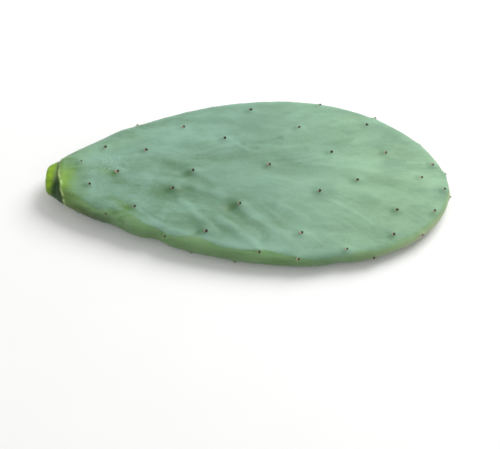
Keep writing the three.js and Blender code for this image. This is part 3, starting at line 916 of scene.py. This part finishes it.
def brush(form, bed, rng):
    """Bristles that stand on a bed of points round its middle, in the areole's own frame."""
    count = form["count"]
    reach, turn = np.sqrt(rng.uniform(0, 1, count)), rng.uniform(0, 2 * math.pi, count)
    flat = np.stack([reach * np.cos(turn), reach * np.sin(turn)], -1)
    root = np.zeros((count, 3))
    root[:, 0] = bed["ahead"] + bed["long"] * BED_SHARE * flat[:, 0]
    root[:, 1] = bed["wide"] * BED_SHARE * flat[:, 1]
    root[:, 2] = bed["bed"] * np.sqrt(1 - (BED_SHARE * reach) ** 2) - form["sunk"]
    direction = np.ones((count, 3))
    direction[:, :2] = form["splay"] * flat + SPLAY_SCATTER * rng.standard_normal((count, 2))
    direction[:, 0] += form["lean"]
    direction /= np.linalg.norm(direction, axis=1, keepdims=True)
    length = rng.uniform(*form["length"], count)
    droop = DROOP * rng.standard_normal((count, 3)) * length[:, None]
    return bristles(root, direction, length, form["radius"], droop).reshape(-1, 3)


def gather(parts):
    """One list of points and one of faces from several parts, with the part number of each point."""
    points, faces, numbers, first = [], [], [], 0
    for number, (part_points, part_faces) in enumerate(parts):
        points.append(part_points)
        faces += [tuple(int(i) + first for i in face) for face in part_faces]
        numbers.append(np.full(len(part_points), number))
        first += len(part_points)
    return np.concatenate(points), faces, np.concatenate(numbers)


def bristle_faces(count):
    step = len(BRISTLE_TIPNESS)
    return [tuple(i + step * n for i in face) for n in range(count) for face in BRISTLE_FACES]


def seat_points(seat, local, clearance):
    """Points on a seat. Under the belly they are kept off the ground by the clearance."""
    points = seat["middle"] + seat["size"] * local @ seat["frame"]
    points[:, 2] = np.maximum(points[:, 2], GROUND + clearance)
    return points


CELL_MARGIN = 0.08
FELT_SPREAD, FELT_TOP = 5, 0.8  # the size of a felt's cell in the unwrap, and where its mask is full
GLOCHID_STEP = 0.381  # spreads the points of the glochids over their cells


def unwrap_by_cell(piece, cell, local_u, local_v):
    """Puts each cell's corners in its own square of the unwrap."""
    columns = math.ceil(math.sqrt(cell.max() + 1))
    corner = loop_vertices(piece)
    number = cell[corner]
    inner = 1 - 2 * CELL_MARGIN
    u = (number % columns + CELL_MARGIN + inner * local_u[corner]) / columns
    v = (number // columns + CELL_MARGIN + inner * local_v[corner]) / columns
    add_unwrap(piece, u, v)


def dome_with_bristles(seat, body_form, hair_form, fullness, rng):
    """The two parts on one seat, and their points in the areole's own frame."""
    body = fullness * (dome(body_form, rng) + [body_form["ahead"], 0, -body_form["sunk"]])
    hairs = fullness * brush(hair_form, body_form, rng)
    parts = [
        (seat_points(seat, body, body_form["clearance"]), dome_faces(body_form)),
        (seat_points(seat, hairs, hair_form["clearance"]), bristle_faces(hair_form["count"])),
    ]
    return parts, [body, hairs]


def build_felt(seats):
    rng = np.random.default_rng(SEED + 3)
    tufts = [dome_with_bristles(seat, FELT, FELT_HAIRS, rng.uniform(*FELT_SIZES), rng) for seat in seats]
    points, faces, number = gather([part for parts, _ in tufts for part in parts])
    piece = mesh_object("areole_felt", points, faces)
    local = np.concatenate([own for _, owns in tufts for own in owns])
    add_mask(piece, "height", np.clip(local[:, 2] / FELT_TOP, 0, 1))
    unwrap_by_cell(piece, number, *np.clip(0.5 + local[:, :2] / FELT_SPREAD, 0, 1).T)
    return piece


def build_glochids(seats):
    rng = np.random.default_rng(SEED + 4)
    tufts = [dome_with_bristles(seat, TUFT, GLOCHIDS, 1.0, rng)[0] for seat in seats]
    points, faces, number = gather([part for parts in tufts for part in parts])
    piece = mesh_object("glochids", points, faces)
    dome_points = TUFT["rings"] * TUFT["sides"] + 1
    tipness = np.tile([0] * dome_points + BRISTLE_TIPNESS * GLOCHIDS["count"], len(seats))
    add_mask(piece, "tipness", tipness)
    unwrap_by_cell(piece, number, np.arange(len(points)) * GLOCHID_STEP % 1, tipness)
    return piece


# Materials --------------------

# Colours in sRGB, 0 to 255
GREEN_UNDER_WAX = (78, 114, 76)
WAX_BLOOM = (126, 163, 144)
WAX_BLOOM_TIP = (139, 177, 142)
WAX_SHADED = (100, 136, 115)
RIM_OLIVE = (121, 160, 106)
RIM_DARK = (86, 122, 66)
# Partly the rim's darker underside, partly painted shade
RIM_UNDERSIDE_AND_PAINTED_SHADE = (78, 107, 56)
RIM_PALE = (134, 162, 118)
RIM_YOUNG = (160, 196, 144)
# Painted shade under the neck and the base
NECK_PAINTED_SHADE = (56, 76, 38)
YOUNG_GREEN = (122, 160, 40)
# The stub's one green as painted light, painted half shade and painted shade
STUB_PAINTED_LIGHT = (127, 167, 26)
STUB_PAINTED_HALF_SHADE = (96, 122, 58)
STUB_PAINTED_SHADE = (24, 60, 2)
LIP_PALE = (190, 206, 146)
MARGIN_PINK = (176, 162, 126)
SCAR_TAN = (140, 140, 104)
SPECKLE_PALE = (160, 190, 170)
CALLUS = (150, 142, 96)
CALLUS_EDGE = (96, 84, 50)
FELT_CREAM = (220, 208, 190)
FELT_TAN = (158, 138, 114)
GLOCHID_DARK = (34, 20, 15)
GLOCHID_TIP = (92, 56, 36)
FLOOR_WHITE = (241, 241, 240)
FLOOR_SHADE = (238, 238, 237)

SKIN_SHADER = {
    "Subsurface Weight": 0.06, "Subsurface Radius": (0.6, 1, 0.3), "Subsurface Scale": 0.002,
    "Sheen Weight": 0.06, "Specular IOR Level": 0.3,
}


def linear(colour):
    parts = [c / 255 for c in colour]
    parts = [((c + 0.055) / 1.055) ** 2.4 if c > 0.04045 else c / 12.92 for c in parts]
    return (*parts, 1.0)


class Nodes:
    """Short calls for building a shader tree."""

    def __init__(self, name, roughness):
        self.material = bpy.data.materials.new(name)
        self.material.use_nodes = True
        self.tree = self.material.node_tree
        self.shader = self.tree.nodes["Principled BSDF"]
        self.shader.inputs["Roughness"].default_value = roughness
        self.place = self.tree.nodes.new("ShaderNodeTexCoord").outputs["Object"]

    def add(self, kind, inputs, **settings):
        node = self.tree.nodes.new(kind)
        for key, value in settings.items():
            setattr(node, key, value)
        for key, value in inputs.items():
            if isinstance(value, bpy.types.NodeSocket):
                self.tree.links.new(value, node.inputs[key])
            else:
                node.inputs[key].default_value = value
        return node

    def mask(self, name):
        return self.add("ShaderNodeAttribute", {}, attribute_name=name).outputs["Fac"]

    def scaled(self, millimetres, stretch=1.0):
        """The place on the piece, in features of so many millimetres that are stretched along the pad."""
        across = 1 / (MM * millimetres)
        inputs = {"Vector": self.place, "Scale": (across / stretch, across, across)}
        return self.add("ShaderNodeMapping", inputs).outputs["Vector"]

    def noise(self, millimetres, stretch=1.0, detail=3.0, roughness=0.55, distortion=0.0):
        inputs = {
            "Vector": self.scaled(millimetres, stretch), "Scale": 1.0, "Detail": detail,
            "Roughness": roughness, "Distortion": distortion,
        }
        return self.add("ShaderNodeTexNoise", inputs).outputs["Fac"]

    def spots(self, millimetres):
        inputs = {"Vector": self.scaled(millimetres), "Scale": 1.0}
        return self.add("ShaderNodeTexVoronoi", inputs).outputs["Distance"]

    def math(self, operation, a, b):
        return self.add("ShaderNodeMath", {0: a, 1: b}, operation=operation).outputs[0]

    def times(self, a, b):
        return self.math("MULTIPLY", a, b)

    def within(self, name, amount):
        return self.times(self.mask(name), amount)

    def total(self, amount, *others):
        for other in others:
            amount = self.math("ADD", amount, other)
        return amount

    def larger(self, a, b):
        return self.math("MAXIMUM", a, b)

    def ramp(self, value, low, high, start=0.0, end=1.0):
        inputs = {"Value": value, "From Min": low, "From Max": high, "To Min": start, "To Max": end}
        node = self.add("ShaderNodeMapRange", inputs, interpolation_type="SMOOTHSTEP")
        return node.outputs["Result"]

    def blend(self, amount, a, b):
        """Colour a where the amount is 0, colour b where it is 1."""
        a, b = (linear(colour) if isinstance(colour, tuple) else colour for colour in (a, b))
        node = self.add("ShaderNodeMix", {0: amount, 6: a, 7: b}, data_type="RGBA")
        return node.outputs[2]

    def bump(self, height, distance, strength):
        inputs = {"Height": height, "Distance": distance, "Strength": strength}
        return self.add("ShaderNodeBump", inputs).outputs["Normal"]

    def finish(self, inputs):
        for name, socket in inputs.items():
            self.tree.links.new(socket, self.shader.inputs[name])
        return self.material


def wax_amount(nodes):
    """How thick the wax is: patchy, streaked lengthwise, rubbed off the rim and thin by the neck; thinner as
    painted shade in creases and the shallow valley, and behind the areoles as wear and painted shade.
    """
    patches = nodes.noise(34, 1.7, 4.0, 0.6, 0.4)
    streaks = nodes.noise(6.5, 4.5, 3.0, 0.6)
    mottle = nodes.noise(1.6, 1.3, 3.0, 0.6)
    blotches = nodes.ramp(nodes.noise(12, 1.8, 4.0, 0.62, 0.6), 0.3, 0.7, -0.15, 0.15)
    amount = nodes.total(
        nodes.ramp(patches, 0.28, 0.72, 0.56, 0.76),
        nodes.ramp(streaks, 0.3, 0.7, -0.05, 0.05),
        nodes.ramp(mottle, 0.3, 0.7, -0.04, 0.04),
        # Thinner wax in creases, thicker on ridges: painted shade of the relief
        nodes.ramp(nodes.mask("relief"), 0.1, 0.9, -0.12, 0.12),
        nodes.times(blotches, nodes.ramp(nodes.mask("along"), 0.2, 0.5, 1.0, 0.1)),
        nodes.within("band", 0.22),
    )
    bare = nodes.within("rim", nodes.ramp(streaks, 0.3, 0.7, 0.62, 0.5))
    bare = nodes.larger(bare, nodes.within("neck", nodes.ramp(streaks, 0.35, 0.65, 0.45, 0.1)))
    bare = nodes.larger(bare, nodes.within("blotch", nodes.ramp(mottle, 0.3, 0.7, 0.4, 0.2)))
    # The trails behind the areoles: worn wax and painted shade
    worn = nodes.within("wear_and_shade_trail", nodes.ramp(mottle, 0.3, 0.7, 0.54, 0.4))
    # Thinner wax in the shallow valley: painted shade
    painted_shade = nodes.within("painted_shade", nodes.ramp(patches, 0.3, 0.7, 0.22, 0.06))
    return nodes.math("SUBTRACT", amount, nodes.total(bare, worn, painted_shade))


def bloom_colour(nodes, patches):
    """Full wax: blue-green, paler and greener towards the tip, and shaded here and there."""
    younger = nodes.ramp(nodes.mask("along"), 0.4, 0.95)
    younger = nodes.times(younger, nodes.ramp(patches, 0.3, 0.6, 0.5, 1.0))
    bloom = nodes.blend(younger, WAX_BLOOM, WAX_BLOOM_TIP)
    return nodes.blend(nodes.ramp(nodes.noise(15, 2.4, 4.0), 0.42, 0.68, 0.0, 0.5), bloom, WAX_SHADED)


def rim_colour(nodes, by_base):
    """The rubbed rim: streaked olive, paler by the tip, and darker where it turns under, partly its own
    darker skin and partly painted shade; by the base, painted shade.
    """
    along, streaks = nodes.mask("along"), nodes.noise(3.2, 9.0)
    colour = nodes.blend(nodes.ramp(streaks, 0.5, 0.7, 0.0, 0.8), RIM_OLIVE, RIM_DARK)
    colour = nodes.blend(nodes.ramp(streaks, 0.5, 0.3, 0.0, 0.8), colour, RIM_PALE)
    colour = nodes.blend(nodes.ramp(along, 0.62, 0.88), colour, RIM_YOUNG)
    # Darker where the rim turns under: partly its own darker skin, partly painted shade
    shaded = nodes.within("rim_under", nodes.ramp(along, 0.75, 0.95, 0.8, 0.1))
    colour = nodes.blend(shaded, colour, RIM_UNDERSIDE_AND_PAINTED_SHADE)
    # Painted shade by the neck and along the base's underside
    return nodes.blend(by_base, colour, NECK_PAINTED_SHADE)


def blade_colour(nodes, wax):
    """Wax over green skin, olive where it is bare on the rim and yellow-green at the neck."""
    patches = nodes.noise(55, 1.4)
    colour = nodes.blend(nodes.ramp(wax, 0.0, 1.0), GREEN_UNDER_WAX, bloom_colour(nodes, patches))
    by_base = nodes.larger(nodes.mask("neck"), nodes.mask("base_painted_shade"))
    olive = nodes.larger(nodes.ramp(patches, 0.3, 0.7, 0.6, 0.9), by_base)
    colour = nodes.blend(nodes.within("rim", olive), colour, rim_colour(nodes, by_base))
    young = nodes.within("young", nodes.ramp(nodes.noise(7, 1.6), 0.3, 0.65, 0.6, 1.0))
    colour = nodes.blend(young, colour, YOUNG_GREEN)
    margin = nodes.within("rim_under", nodes.ramp(nodes.mask("along"), 0.7, 0.95, 0.0, 0.45))
    margin = nodes.times(margin, nodes.ramp(nodes.noise(14), 0.4, 0.6, 0.3, 1.0))
    return nodes.blend(margin, colour, MARGIN_PINK)


def stub_colour(nodes):
    """Painted light on the stub's end, painted half shade by the lip and painted shade underneath, all of
    one green.
    """
    painted_light = nodes.within("stub_painted_light", nodes.ramp(nodes.noise(5), 0.3, 0.6, 0.6, 1.0))
    painted_shade = nodes.blend(nodes.mask("stub_painted_shade"), STUB_PAINTED_HALF_SHADE, STUB_PAINTED_SHADE)
    return nodes.blend(painted_light, painted_shade, STUB_PAINTED_LIGHT)


def skin_material():
    nodes = Nodes("skin", 0.55)
    wax = wax_amount(nodes)
    colour = blade_colour(nodes, wax)
    speckles = nodes.ramp(nodes.spots(2.3), 0.14, 0.22, 1.0, 0.0)
    speckles = nodes.times(speckles, nodes.ramp(nodes.noise(24), 0.52, 0.7, 0.0, 0.4))
    flecks = nodes.within("flecks", nodes.ramp(nodes.spots(1.7), 0.2, 0.34, 1.0, 0.0))
    speckles = nodes.larger(speckles, nodes.times(flecks, 0.8))
    colour = nodes.blend(speckles, colour, SPECKLE_PALE)
    scars = nodes.times(nodes.ramp(nodes.noise(7, detail=4.0), 0.72, 0.78), 0.5)
    colour = nodes.blend(scars, colour, SCAR_TAN)
    colour = nodes.blend(nodes.mask("stub"), colour, stub_colour(nodes))
    lip = nodes.within("lip", nodes.ramp(nodes.noise(3), 0.35, 0.6, 0.1, 0.85))
    colour = nodes.blend(lip, colour, LIP_PALE)
    callus = nodes.blend(nodes.ramp(nodes.noise(1.2, detail=4.0), 0.35, 0.65), CALLUS_EDGE, CALLUS)
    colour = nodes.blend(nodes.mask("cut"), colour, callus)
    for name, value in SKIN_SHADER.items():
        nodes.shader.inputs[name].default_value = value
    grain = nodes.total(nodes.noise(0.9, 1.5, 4.0), nodes.noise(3.2, 3.0))
    rough = nodes.ramp(wax, 0.1, 0.8, 0.42, 0.6)
    return nodes.finish({"Base Color": colour, "Roughness": rough, "Normal": nodes.bump(grain, 0.0003, 0.3)})


def felt_material():
    nodes = Nodes("felt", 0.95)
    worn = nodes.times(nodes.ramp(nodes.noise(0.5, detail=4.0), 0.35, 0.7), 0.7)
    colour = nodes.blend(worn, FELT_CREAM, FELT_TAN)
    colour = nodes.blend(nodes.ramp(nodes.mask("height"), 0.0, 0.5, 0.8, 0.0), colour, FELT_TAN)
    return nodes.finish({"Base Color": colour, "Normal": nodes.bump(nodes.noise(0.18), 0.0002, 0.8)})


def glochid_material():
    nodes = Nodes("glochids", 0.45)
    colour = nodes.blend(nodes.ramp(nodes.mask("tipness"), 0.3, 1.0), GLOCHID_DARK, GLOCHID_TIP)
    grain = nodes.noise(0.3)
    colour = nodes.blend(nodes.ramp(grain, 0.3, 0.7, 0.0, 0.3), colour, GLOCHID_TIP)
    return nodes.finish({"Base Color": colour, "Roughness": nodes.ramp(grain, 0.3, 0.7, 0.38, 0.55)})


def floor_material():
    nodes = Nodes("floor", 0.85)
    return nodes.finish({"Base Color": nodes.blend(nodes.noise(60, detail=4.0), FLOOR_WHITE, FLOOR_SHADE)})


# The studio --------------------


# In metres, and watts for the lights: name, place, size, power
FLOOR_REACH = 6
FLOOR_CORNERS = [(-1, -1), (1, -1), (1, 1), (-1, 1)]
LIGHTS = [("key", (0.78, 0.85, 1.25), 1.1, 27), ("fill", (-1.2, -0.9, 1.3), 1.6, 5)]
SKY_STRENGTH = 0.55


def build_floor():
    mesh = bpy.data.meshes.new("floor")
    corners = [(x * FLOOR_REACH, y * FLOOR_REACH, 0) for x, y in FLOOR_CORNERS]
    mesh.from_pydata(corners, [], [(0, 1, 2, 3)])
    floor = bpy.data.objects.new("floor", mesh)
    bpy.context.scene.collection.objects.link(floor)
    floor.data.materials.append(floor_material())


def area_light(name, place, size, power):
    light = bpy.data.lights.new(name, "AREA")
    light.size = size
    light.energy = power
    lamp = bpy.data.objects.new(name, light)
    lamp.location = place
    lamp.rotation_euler = (-Vector(place)).to_track_quat("-Z", "Y").to_euler()
    bpy.context.scene.collection.objects.link(lamp)


def build_light():
    world = bpy.data.worlds.new("studio")
    bpy.context.scene.world = world
    world.use_nodes = True
    background = world.node_tree.nodes["Background"]
    background.inputs["Color"].default_value = (1, 1, 1, 1)
    background.inputs["Strength"].default_value = SKY_STRENGTH
    for light in LIGHTS:
        area_light(*light)
    bpy.context.scene.view_settings.view_transform = "Standard"


def build_camera():
    camera = bpy.data.cameras.new("camera")
    camera.sensor_fit = "HORIZONTAL"
    camera.sensor_width = SENSOR_WIDTH
    camera.lens = camera.sensor_width * FOCAL_PIXELS / IMAGE_WIDTH
    camera.clip_start = NEAREST_SEEN
    eye = bpy.data.objects.new("camera", camera)
    elevation, azimuth, roll = (math.radians(a) for a in (CAMERA_ELEVATION, CAMERA_AZIMUTH, CAMERA_ROLL))
    flat = math.cos(elevation)
    back = Vector((flat * math.sin(azimuth), -flat * math.cos(azimuth), math.sin(elevation)))
    aim = Vector(to_row([CAMERA_AIM[0], CAMERA_AIM[1], 0.0]))
    turn = back.to_track_quat("Z", "Y").to_matrix() @ Matrix.Rotation(roll, 3, "Z")
    eye.matrix_world = Matrix.Translation(aim + back * CAMERA_DISTANCE * MM) @ turn.to_4x4()
    bpy.context.scene.collection.objects.link(eye)
    bpy.context.scene.camera = eye


pad_grid, pad_masks = raised_grid()
pad_seats = areole_seats(pad_grid)
build_skin(pad_grid, pad_masks).data.materials.append(skin_material())
build_felt(pad_seats).data.materials.append(felt_material())
build_glochids(pad_seats).data.materials.append(glochid_material())
build_floor()
build_light()
build_camera()
